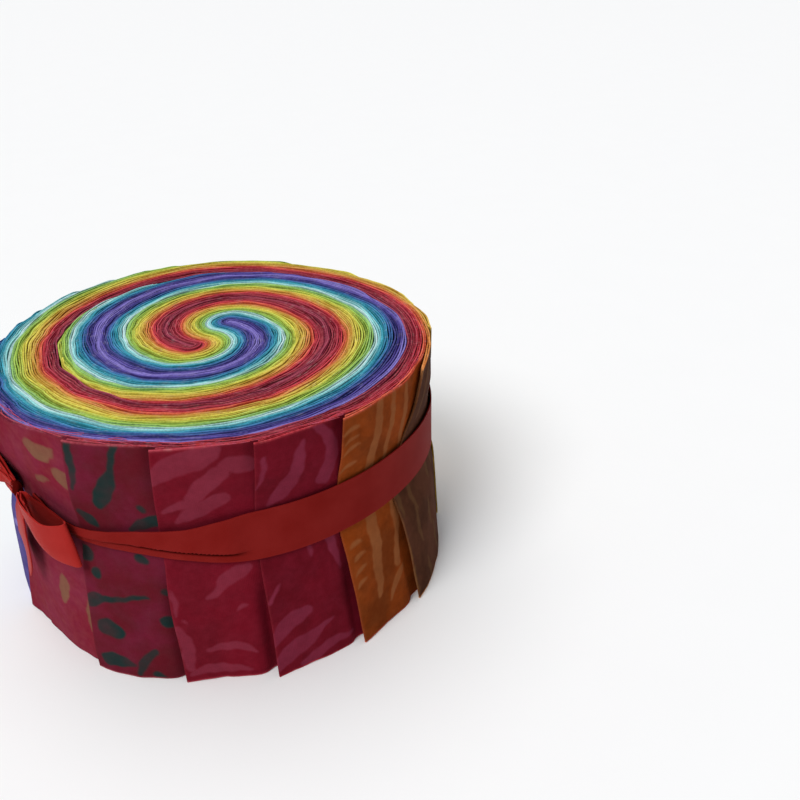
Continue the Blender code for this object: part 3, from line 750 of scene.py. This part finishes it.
class Board:
    """Lays out the nodes of one material."""

    def __init__(self, name):
        self.material = bpy.data.materials.new(name)
        self.material.use_nodes = True
        self.tree = self.material.node_tree

    def node(self, kind, inputs=(), **settings):
        made = self.tree.nodes.new(kind)
        for key, value in settings.items():
            setattr(made, key, value)
        for key, value in dict(inputs).items():
            self.feed(made.inputs[key], value)
        return made

    def feed(self, socket, value):
        if hasattr(value, "outputs"):
            value = value.outputs[0]
        if isinstance(value, bpy.types.NodeSocket):
            self.tree.links.new(value, socket)
        elif socket.type == "RGBA" and len(value) == 3:
            socket.default_value = (*value, 1.0)
        else:
            socket.default_value = value

    def surface(self, inputs):
        """Sets the material's own shader, and hands the material over."""
        for key, value in inputs.items():
            self.feed(self.tree.nodes["Principled BSDF"].inputs[key], value)
        return self.material

    def math(self, operation, a, b):
        return self.node("ShaderNodeMath", {0: a, 1: b}, operation=operation).outputs[0]

    def times(self, a, b):
        return self.math("MULTIPLY", a, b)

    def plus(self, a, b):
        return self.math("ADD", a, b)

    def soften(self, value, low, high):
        limits = {"Value": value, "From Min": low, "From Max": high}
        return self.node("ShaderNodeMapRange", limits, interpolation_type="SMOOTHSTEP").outputs[0]

    def mix(self, share, a, b, kind="MIX"):
        made = self.node("ShaderNodeMix", {0: share, 6: a, 7: b}, data_type="RGBA", blend_type=kind)
        return made.outputs[2]

    def noise(self, vector, scale, detail=3.0, roughness=0.55):
        look = {"Vector": vector, "Scale": scale, "Detail": detail, "Roughness": roughness}
        return self.node("ShaderNodeTexNoise", look).outputs["Fac"]

    def wave(self, vector, scale, distortion, direction):
        look = {"Vector": vector, "Scale": scale, "Distortion": distortion}
        return self.node("ShaderNodeTexWave", look, bands_direction=direction).outputs["Fac"]

    def bump(self, height, strength, distance, under=None):
        made = self.node("ShaderNodeBump", {"Height": height, "Strength": strength, "Distance": distance})
        if under is not None:
            self.feed(made.inputs["Normal"], under)
        return made

    def place(self, move=(0.0, 0.0, 0.0), scale=(1.0, 1.0, 1.0)):
        """Places on the cloth, in metres along and across it."""
        source = self.node("ShaderNodeUVMap", uv_map="cloth")
        moved = self.node("ShaderNodeMapping", {"Vector": source, "Location": move, "Scale": scale})
        return moved.outputs[0]

    def printed(self):
        """The three parts of the mesh's own print; on the ribbon the first part is painted shade."""
        source = self.node("ShaderNodeAttribute", attribute_name="print", attribute_type="GEOMETRY")
        return self.node("ShaderNodeSeparateColor", {"Color": source.outputs["Color"]}).outputs[:3]


def cotton(name, dyes, strip):
    """Hand-dyed printed cotton: a clouded ground, soft marks, worn cut edges and a plain weave."""
    board = Board(f"{name}_cotton")
    here = board.place((0.31 * strip, 0.17 * strip, 0.0))
    streaks = board.place((0.5 * strip, 0.0, 0.0), (1.0, 0.12, 1.0))
    mark, worn, edge = board.printed()

    cloud = board.soften(board.noise(here, 75.0, 4.0, 0.6), 0.38, 0.66)
    blotch = board.soften(board.noise(here, 260.0, 3.0, 0.6), 0.3, 0.8)
    ground = board.mix(board.times(blotch, 0.14), board.mix(cloud, dyes.ground, dyes.clouds), dyes.marks)
    uneven = board.math("SUBTRACT", board.noise(here, 300.0), 0.5)
    ragged = board.plus(mark, board.times(uneven, 0.5))
    fading = board.plus(0.45, board.times(board.noise(here, 140.0, 2.0), 0.75))
    dyed = board.mix(board.times(board.soften(ragged, 0.2, 0.85), fading), ground, dyes.marks)

    # The pale end of this tone also makes the painted highlight along the free edge
    dark = tuple(0.6 * v for v in dyes.edge)
    light = tuple(min(0.78, 1.4 * v + 0.04) for v in dyes.edge)
    grain = board.math("SUBTRACT", board.noise(here, 1400.0, 2.0), 0.5)
    fuzzy = board.node("ShaderNodeClamp", {"Value": board.plus(worn, board.times(grain, 1.3))})
    fibre = board.soften(board.noise(streaks, 420.0, 2.0), 0.5, 0.8)
    cut = board.mix(board.times(fibre, 0.1), board.mix(fuzzy, dark, light), (0.9, 0.8, 0.75))

    weave = board.plus(board.wave(here, 800.0, 0.5, "X"), board.wave(here, 800.0, 0.5, "Y"))
    weave = board.times(weave, board.math("SUBTRACT", 1.0, edge))
    mottle = board.times(board.noise(here, 520.0, 4.0, 0.7), 0.44)
    shade = board.plus(board.times(weave, 0.04), board.plus(mottle, 0.74))
    grey = board.node("ShaderNodeCombineColor", {0: shade, 1: shade, 2: shade})
    crumple = board.bump(board.noise(here, 55.0, 3.0, 0.5), 0.35, 0.0006)
    return board.surface({
        "Base Color": board.mix(1.0, board.mix(edge, dyed, cut), grey, "MULTIPLY"),
        "Normal": board.bump(weave, 0.2, 0.00004, crumple),
        "Roughness": 0.88,
        "Specular IOR Level": 0.05,
    })


def satin(name, dye, gloss):
    """Ribbon satin: a very fine slanting rib, a firm woven edge, a soft gloss and painted shade in a loop."""
    board = Board(name)
    here = board.place()
    # The print's first part here is painted shade, inside a loop and along the band's tucked fold
    hidden, _, edge = board.printed()
    rib = board.wave(here, 1250.0, 0.4, "DIAGONAL")
    deep = tuple(v * 0.6 for v in dye)
    bright = tuple(min(1.0, v * 1.15 + 0.004) for v in dye)
    cloud = board.soften(board.noise(here, 90.0, 3.0), 0.3, 0.7)
    ribbed = board.mix(board.times(rib, 0.14), board.mix(cloud, dye, bright), deep)
    edged = board.mix(board.times(edge, 0.3), ribbed, bright)
    clear = board.math("POWER", board.math("SUBTRACT", 1.0, hidden), 3.0)
    # Painted shade darkens the dye to a fifth and takes away the gloss
    return board.surface({
        "Base Color": board.mix(hidden, edged, tuple(v * 0.2 for v in dye)),
        "Normal": board.bump(rib, 0.25, 0.00005),
        "Roughness": 0.55,
        "Specular IOR Level": board.times(clear, gloss),
        "Specular Tint": (1.0, 0.35, 0.3, 1.0),
    })


def seat_radius(azimuth):
    """Radius that clears the steps of the wall under the ribbon."""
    return outline_radius(azimuth) + bulge(azimuth) - WAIST_DEPTH + HELD_STEP * OUTER_PITCH / 2.0


def finish_ribbon(obj, settings, depth=1.0):
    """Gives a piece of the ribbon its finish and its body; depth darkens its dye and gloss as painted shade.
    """
    dye = tuple(depth * v for v in settings.ribbon_colour)
    obj.data.materials.append(satin(f"{obj.name}_satin", dye, 0.15 * depth ** 3))
    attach(obj, "root")
    return obj


def pleated(woven, widths, side):
    """Place down and out across a ribbon that is drawn narrow: it lies in pleats over its whole width."""
    fold = woven / np.maximum(widths, RIBBON_WIDTH / MOST_PLEATS)
    down = widths / math.pi * np.arccos(ROUND_FOLD * np.cos(math.pi * fold))
    narrow = ease((RIBBON_WIDTH / widths - 1.0) / 0.1)
    return down, side * PLEAT_GAP * narrow * (fold + np.sin(2.0 * math.pi * fold) / (2.0 * math.pi))


def tucked(woven, widths):
    """The same for a ribbon whose lower edge is tucked up behind and shows as a ridge, and its shade."""
    ridge = np.minimum(RIDGE_WIDTH, MOST_RIDGE * widths)
    face = widths - ridge
    hidden = np.minimum((RIBBON_WIDTH - widths) / 2.0, MOST_TUCK * face)
    narrow = ease(hidden / 0.6)
    shares = np.stack([face, hidden, hidden + ridge], -1)
    used = shares.sum(-1, keepdims=True)
    ends = np.cumsum(shares, -1) / used * RIBBON_WIDTH
    downs = np.stack([0.0 * face, face, face - hidden, widths], -1)
    # The face lies outermost at its lower edge, and the ridge under it lies closer to the wall
    outs = np.stack([0.5 * narrow + 0.15, 0.9 * narrow, 0.3 * narrow, 0.1 * narrow], -1)
    down, out, shade = (np.empty_like(woven * widths) for _ in range(3))
    for k in range(len(widths)):
        at = np.concatenate([[0.0], ends[k]])
        down[:, k] = np.interp(woven[:, 0], at, downs[k])
        out[:, k] = np.interp(woven[:, 0], at, outs[k])
        shows = ends[k, 1] + (ends[k, 1] - ends[k, 0])
        under = ease((woven[:, 0] - ends[k, 0]) / 0.4)
        shade[:, k] = narrow[k] * under * ease(1.0 - (woven[:, 0] - shows - 0.5) / 0.8)
    return down, out, shade


def ribbon_piece(name, node, line, side, settings, depth=1.0, inside=0.0):
    """A ribbon along a line; side says which way its pleats lie, and 0 that its lower edge is tucked.

    The line has its places, directions across and widths. depth darkens the dye as painted shade, and
    inside, for each place, how deep it lies in the painted shade of a loop.
    """
    middles, across, widths = line
    count = len(middles)
    along = np.gradient(middles, axis=0)
    along /= np.linalg.norm(along, axis=1)[:, None]
    out = np.cross(along, across)
    out /= np.linalg.norm(out, axis=1)[:, None]
    length = np.concatenate([[0.0], np.cumsum(np.linalg.norm(np.diff(middles, axis=0), axis=1))])
    woven = np.linspace(0.0, RIBBON_WIDTH, RIBBON_ROWS)[:, None]
    if side:
        down, deep = pleated(woven, widths, side)
        shade = np.ones((len(woven), count)) * inside
    else:
        down, deep, shade = tucked(woven, widths)
    gather = np.clip(1.0 - widths / RIBBON_WIDTH, 0.0, 1.0)[None, :]
    crinkle = CRINKLE * np.sin(1.4 * length[None, :] + 0.9 * woven) * gather ** 2
    crown = CROWN * np.sin(math.pi * np.clip(down / widths[None, :], 0.0, 1.0)) * (1.0 - gather)
    lift = deep + crinkle - np.sign(side) * crown
    points = middles[None] + across[None] * (0.5 * widths[None, :] - down)[..., None]
    points = points + out[None] * lift[..., None]
    places = np.stack(np.broadcast_arrays(length[None, :], woven), -1)
    edge = ease((np.abs(woven / RIBBON_WIDTH - 0.5) - 0.46) / 0.03) * np.ones((1, count))
    # The first part is painted shade, inside the loops and along the band's tucked fold
    marks = np.stack([shade, 0.0 * edge, edge], -1)
    grids = Grids()
    grids.add(points, places, marks)
    obj = grids.build(name, settings.ribbon_thickness)
    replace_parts(finish_ribbon(obj, settings, depth), node)
    return obj, float(length[-1])


def loop_inside(t, neck):
    """Shade along a loop: the half next to the roll is seen from the inside, past the loop's neck."""
    return INSIDE_SHADE * ease((t - neck) / 0.06) * ease((0.46 - t) / 0.05)


def bow_line(table, steps):
    """The places, directions across and widths along a loop or a free end of the bow."""
    rows = smooth_rows(table, np.linspace(0.0, len(table) - 1.0, steps + 1))
    along, off, height, width, lean = rows.T[:5]
    turn = np.radians(rows[:, 5]) if rows.shape[1] > 5 else np.zeros(len(rows))
    azimuth = KNOT_AZIMUTH + np.degrees(along / seat_radius(KNOT_AZIMUTH))
    radius = seat_radius(azimuth) + off
    a, tilt = np.radians(azimuth), np.radians(lean)
    middles = on_wall(azimuth, radius, height)
    across = np.stack([np.sin(a) * np.sin(tilt), -np.cos(a) * np.sin(tilt), np.cos(tilt)], -1)
    outwards = np.stack([np.cos(a), np.sin(a), 0.0 * a], -1)
    across = across * np.cos(turn)[:, None] + outwards * np.sin(turn)[:, None]
    return middles, across, width


COLOUR = {"subtype": "COLOR", "min": 0.0, "max": 1.0}
LENGTH = {"unit": "LENGTH", "precision": 5}


class StripDyes(bpy.types.PropertyGroup):
    """The dyes of one strip."""

    ground: bpy.props.FloatVectorProperty(
        name="Ground", description="Dye of the cloth's ground", default=(0.5, 0.1, 0.1), **COLOUR
    )
    clouds: bpy.props.FloatVectorProperty(
        name="Clouds", description="Dye of the ground's clouds", default=(0.5, 0.1, 0.1), **COLOUR
    )
    marks: bpy.props.FloatVectorProperty(
        name="Marks", description="Dye of the print's marks", default=(0.6, 0.2, 0.2), **COLOUR
    )
    edge: bpy.props.FloatVectorProperty(
        name="Edge", description="Dye of the cut edges", default=(0.6, 0.2, 0.2), **COLOUR
    )


class RollSettings(bpy.types.PropertyGroup):
    """Sizes and colours of the roll, its ribbon and the studio."""

    stack_thickness: bpy.props.FloatProperty(
        name="Stack", description="Thickness of the stack of twenty strips", default=0.016, **LENGTH
    )
    cloth_thickness: bpy.props.FloatProperty(
        name="Cloth", description="Thickness of one layer of cotton", default=0.00038, **LENGTH
    )
    plain_step: bpy.props.FloatProperty(
        name="Plain step", description="Step along the layers inside the roll", default=0.0014, **LENGTH
    )
    front_step: bpy.props.FloatProperty(
        name="Front step", description="Size of the mesh on the front strips", default=0.0005, **LENGTH
    )
    side_step: bpy.props.FloatProperty(
        name="Side step", description="Size of the mesh on the other strips", default=0.0008, **LENGTH
    )
    ribbon_thickness: bpy.props.FloatProperty(
        name="Ribbon", description="Thickness of the ribbon", default=0.0003, **LENGTH
    )
    ribbon_colour: bpy.props.FloatVectorProperty(
        name="Ribbon dye", description="Dye of the ribbon", default=rgb("#a2231f"), **COLOUR
    )
    thread_colour: bpy.props.FloatVectorProperty(
        name="Thread dye", description="Dye of the loose threads", default=rgb("#cc3a3e"), **COLOUR
    )
    # Painted shade: the band's dye is darkened by this share, while the loops keep the full dye
    band_painted_shade: bpy.props.FloatProperty(
        name="Taut", description="How deep the ribbon's dye looks where it is drawn taut", default=0.55
    )
    floor_colour: bpy.props.FloatVectorProperty(
        name="Floor", description="Colour of the floor", default=(0.9, 0.9, 0.9), **COLOUR
    )
    strips: bpy.props.CollectionProperty(name="Strips", description="The strips' dyes", type=StripDyes)


class STRIPROLL_OT_wind_strips(bpy.types.Operator):
    """Wind the twenty strips, folded double, into the roll"""

    bl_idname = "striproll.wind_strips"
    bl_label = "Wind strips"

    def execute(self, context):
        settings = context.scene.strip_roll
        winding = Winding(settings.stack_thickness / MM)
        for strip in range(STRIP_COUNT):
            wind_strip(winding, strip, settings)
        return {"FINISHED"}


class STRIPROLL_OT_lay_threads(bpy.types.Operator):
    """Lay the loose threads that fray from the strips' cut edges along the rim"""

    bl_idname = "striproll.lay_threads"
    bl_label = "Lay loose threads"

    def execute(self, context):
        settings = context.scene.strip_roll
        rng = np.random.default_rng(21)
        curve = bpy.data.curves.new("loose_threads", "CURVE")
        curve.dimensions = "3D"
        curve.bevel_depth = THREAD_RADIUS * MM
        curve.bevel_resolution = 0
        curve.use_fill_caps = True
        for _ in range(THREAD_COUNT):
            azimuth = rng.uniform(*THREAD_AZIMUTHS)
            inside = rng.uniform(*THREAD_INSIDE)
            reach = rng.uniform(*THREAD_LENGTHS)
            lean, bow = rng.uniform(-0.1, 0.1), rng.uniform(-0.4, 0.4)
            spline = curve.splines.new("POLY")
            spline.points.add(THREAD_POINTS - 1)
            for k, point in enumerate(spline.points):
                t = k / (THREAD_POINTS - 1)
                here = azimuth + math.degrees(reach * (t - 0.5) / MEAN_RADIUS)
                radius = float(outline_radius(here)) - inside + lean * reach * t + bow * t * (1.0 - t) * 4.0
                rim = float(read_round(RIM_RISE, here)[0])
                z = FACE_TOP + rim + THREAD_HEIGHT + 0.15 * math.sin(3.0 * t + azimuth)
                point.co = (*(on_wall(here, radius, z) * MM), 1.0)
        obj = bpy.data.objects.new("loose_threads", curve)
        context.scene.collection.objects.link(obj)
        pick(obj)
        bpy.ops.object.convert(target="MESH")
        obj = context.view_layer.objects.active
        obj.name = "loose_threads"
        board = Board("loose_thread_cotton")
        source = board.node("ShaderNodeTexCoord").outputs["Object"]
        spun = board.soften(board.noise(source, 900.0, 2.0), 0.35, 0.65)
        colour = board.mix(spun, settings.thread_colour, (0.55, 0.08, 0.14))
        obj.data.materials.append(board.surface({"Base Color": colour, "Roughness": 0.85}))
        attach(obj, "root")
        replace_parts(obj, "strip_roll")
        return {"FINISHED"}


class STRIPROLL_OT_wrap_band(bpy.types.Operator):
    """Wrap the ribbon round the roll"""

    bl_idname = "striproll.wrap_band"
    bl_label = "Wrap ribbon"

    def execute(self, context):
        settings = context.scene.strip_roll
        table = np.array(BAND_SECTIONS)
        on = np.arange(table[0, 0], table[-1, 0], BAND_STEP)
        places = np.interp(on, table[:, 0], np.arange(len(table)))
        rows = smooth_rows(BAND_SECTIONS, places)
        azimuth = KNOT_AZIMUTH + on
        radius = seat_radius(azimuth) + CLEARANCE
        middles = on_wall(azimuth, radius, rows[:, 1])
        across = np.tile((0.0, 0.0, 1.0), (len(on), 1))
        line = (middles, across, rows[:, 2])
        # The band's darker dye is painted shade
        obj, length = ribbon_piece("tied_band", "ribbon_band", line, 0.0, settings, settings.band_painted_shade)
        return {"FINISHED"}


class STRIPROLL_OT_fold_bow(bpy.types.Operator):
    """Fold the bow's two loops and lay its two free ends"""

    bl_idname = "striproll.fold_bow"
    bl_label = "Fold bow"

    def execute(self, context):
        settings = context.scene.strip_roll
        pieces = (
            # name, node, table, steps, side of the pleats, how it is held, where its shaded inside starts
            ("front_loop", "bow_loop_front", FRONT_LOOP, 100, 1.0, "folded", 0.08),
            ("back_loop", "bow_loop_back", BACK_LOOP, 110, -1.0, "folded", 0.26),
            ("front_tail", "bow_tail_front", FRONT_TAIL, 50, 1.0, "hung", 1.0),
            ("back_tail", "bow_tail_back", BACK_TAIL, 60, -1.0, "hung", 1.0),
        )
        for name, node, table, steps, side, held, neck in pieces:
            shade = loop_inside(np.linspace(0.0, 1.0, steps + 1), neck)
            obj, length = ribbon_piece(name, node, bow_line(table, steps), side, settings, inside=shade)
        return {"FINISHED"}


class STRIPROLL_OT_tie_knot(bpy.types.Operator):
    """Tie the ribbon's knot"""

    bl_idname = "striproll.tie_knot"
    bl_label = "Tie knot"

    def execute(self, context):
        settings = context.scene.strip_roll
        bpy.ops.object.select_all(action="DESELECT")
        bpy.ops.mesh.primitive_uv_sphere_add(segments=64, ring_count=36, radius=0.5)
        obj = context.view_layer.objects.active
        obj.name = obj.data.name = "knot"
        a = math.radians(KNOT_AZIMUTH)
        out = Vector((math.cos(a), math.sin(a), 0.0))
        tangent = Vector((-math.sin(a), math.cos(a), 0.0))
        seat = float(seat_radius(KNOT_AZIMUTH)) + KNOT_PLACE[1]
        for vert in obj.data.vertices:
            turn = math.atan2(vert.co.y, vert.co.x)
            crease = 1.0 - KNOT_CREASE * (1.0 + math.cos(5.0 * turn + 7.0 * vert.co.z))
            waist_in = 1.0 - KNOT_WAIST * (1.0 - abs(2.0 * vert.co.z))
            depth = vert.co.y * KNOT_SIZE[1] * crease * waist_in
            side = KNOT_PLACE[0] + vert.co.x * KNOT_SIZE[0] * crease * waist_in
            rise = KNOT_HEIGHT + vert.co.z * KNOT_SIZE[2]
            vert.co = (out * (seat + depth) + tangent * side + Vector((0.0, 0.0, rise))) * MM
        obj.data.update()
        uv = obj.data.uv_layers[0]
        uv.name = "cloth"
        for loop in uv.data:
            loop.uv = (loop.uv[0] * KNOT_CLOTH[0] * MM, loop.uv[1] * KNOT_CLOTH[1] * MM)
        obj.data.attributes.new("print", "FLOAT_COLOR", "POINT")
        pick(obj)
        bpy.ops.object.mode_set(mode="EDIT")
        bpy.ops.mesh.select_all(action="SELECT")
        bpy.ops.mesh.normals_make_consistent(inside=False)
        bpy.ops.object.mode_set(mode="OBJECT")
        bpy.ops.object.shade_smooth()
        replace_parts(finish_ribbon(obj, settings), "ribbon_knot")
        return {"FINISHED"}


class STRIPROLL_OT_set_stage(bpy.types.Operator):
    """Set the pale floor, the soft light and the camera"""

    bl_idname = "striproll.set_stage"
    bl_label = "Set stage"

    def execute(self, context):
        scene = context.scene
        settings = scene.strip_roll
        bpy.ops.object.select_all(action="DESELECT")
        bpy.ops.mesh.primitive_plane_add(size=12.0)
        floor = context.view_layer.objects.active
        floor.name = "floor"
        board = Board("floor_paper")
        source = board.node("ShaderNodeTexCoord").outputs["Object"]
        tint = settings.floor_colour
        fine = board.mix(board.noise(source, 40.0), tint, tuple(0.985 * v for v in tint))
        floor.data.materials.append(board.surface({"Base Color": fine, "Roughness": 0.9}))

        world = bpy.data.worlds.new("studio")
        world.use_nodes = True
        background = world.node_tree.nodes["Background"]
        background.inputs["Color"].default_value = (0.95, 0.97, 1.0, 1.0)
        background.inputs["Strength"].default_value = 0.3
        scene.world = world
        lamps = (
            # name, place in metres, spread of the light in degrees, strength
            ("key_lamp", (-0.46, -0.41, 0.79), 30.0, 1.9),
            ("top_lamp", (-0.15, 0.25, 1.0), 50.0, 1.1),
        )
        for name, place, spread, strength in lamps:
            lamp = bpy.data.lights.new(name, "SUN")
            lamp.energy = strength
            lamp.angle = math.radians(spread)
            obj = bpy.data.objects.new(name, lamp)
            aim = Vector((0.0, 0.0, 0.04)) - Vector(place)
            obj.rotation_euler = aim.to_track_quat("-Z", "Y").to_euler()
            obj.location = place
            scene.collection.objects.link(obj)

        camera = bpy.data.cameras.new("photo_camera")
        camera.lens = CAMERA_LENS
        camera.sensor_width = 36.0
        camera.clip_start = 0.01
        obj = bpy.data.objects.new("photo_camera", camera)
        turned = Matrix(CAMERA_AXES).transposed()
        obj.matrix_world = Matrix.Translation(CAMERA_PLACE) @ turned.to_4x4()
        scene.collection.objects.link(obj)
        scene.camera = obj
        scene.view_settings.view_transform = "Standard"
        return {"FINISHED"}


class STRIPROLL_PT_panel(bpy.types.Panel):
    """Lists the roll's settings and steps"""

    bl_idname = "STRIPROLL_PT_panel"
    bl_label = "Strip Roll"
    bl_space_type = "VIEW_3D"
    bl_region_type = "UI"
    bl_category = "Strip Roll"

    def draw(self, context):
        settings = context.scene.strip_roll
        for key in RollSettings.__annotations__:
            if key != "strips":
                self.layout.prop(settings, key)
        for step in STEPS:
            self.layout.operator(step.bl_idname)


STEPS = (
    STRIPROLL_OT_set_stage,
    STRIPROLL_OT_wind_strips,
    STRIPROLL_OT_lay_threads,
    STRIPROLL_OT_wrap_band,
    STRIPROLL_OT_tie_knot,
    STRIPROLL_OT_fold_bow,
)
CLASSES = (StripDyes, RollSettings) + STEPS + (STRIPROLL_PT_panel,)


def register():
    """Adds the classes and the scene's settings."""
    for cls in CLASSES:
        bpy.utils.register_class(cls)
    bpy.types.Scene.strip_roll = bpy.props.PointerProperty(type=RollSettings)


def unregister():
    """Takes the settings and the classes out again."""
    del bpy.types.Scene.strip_roll
    for cls in reversed(CLASSES):
        bpy.utils.unregister_class(cls)


def main():
    """Builds the dressed roll."""
    register()
    settings = bpy.context.scene.strip_roll
    for ground, clouds, marks, edge, _ in STRIPS:
        dyes = settings.strips.add()
        dyes.ground, dyes.clouds, dyes.marks, dyes.edge = rgb(ground), rgb(clouds), rgb(marks), rgb(edge)
    bpy.ops.striproll.set_stage()
    bpy.ops.striproll.wind_strips()
    bpy.ops.striproll.lay_threads()
    bpy.ops.striproll.wrap_band()
    bpy.ops.striproll.tie_knot()
    bpy.ops.striproll.fold_bow()


if __name__ == "__main__":
    main()
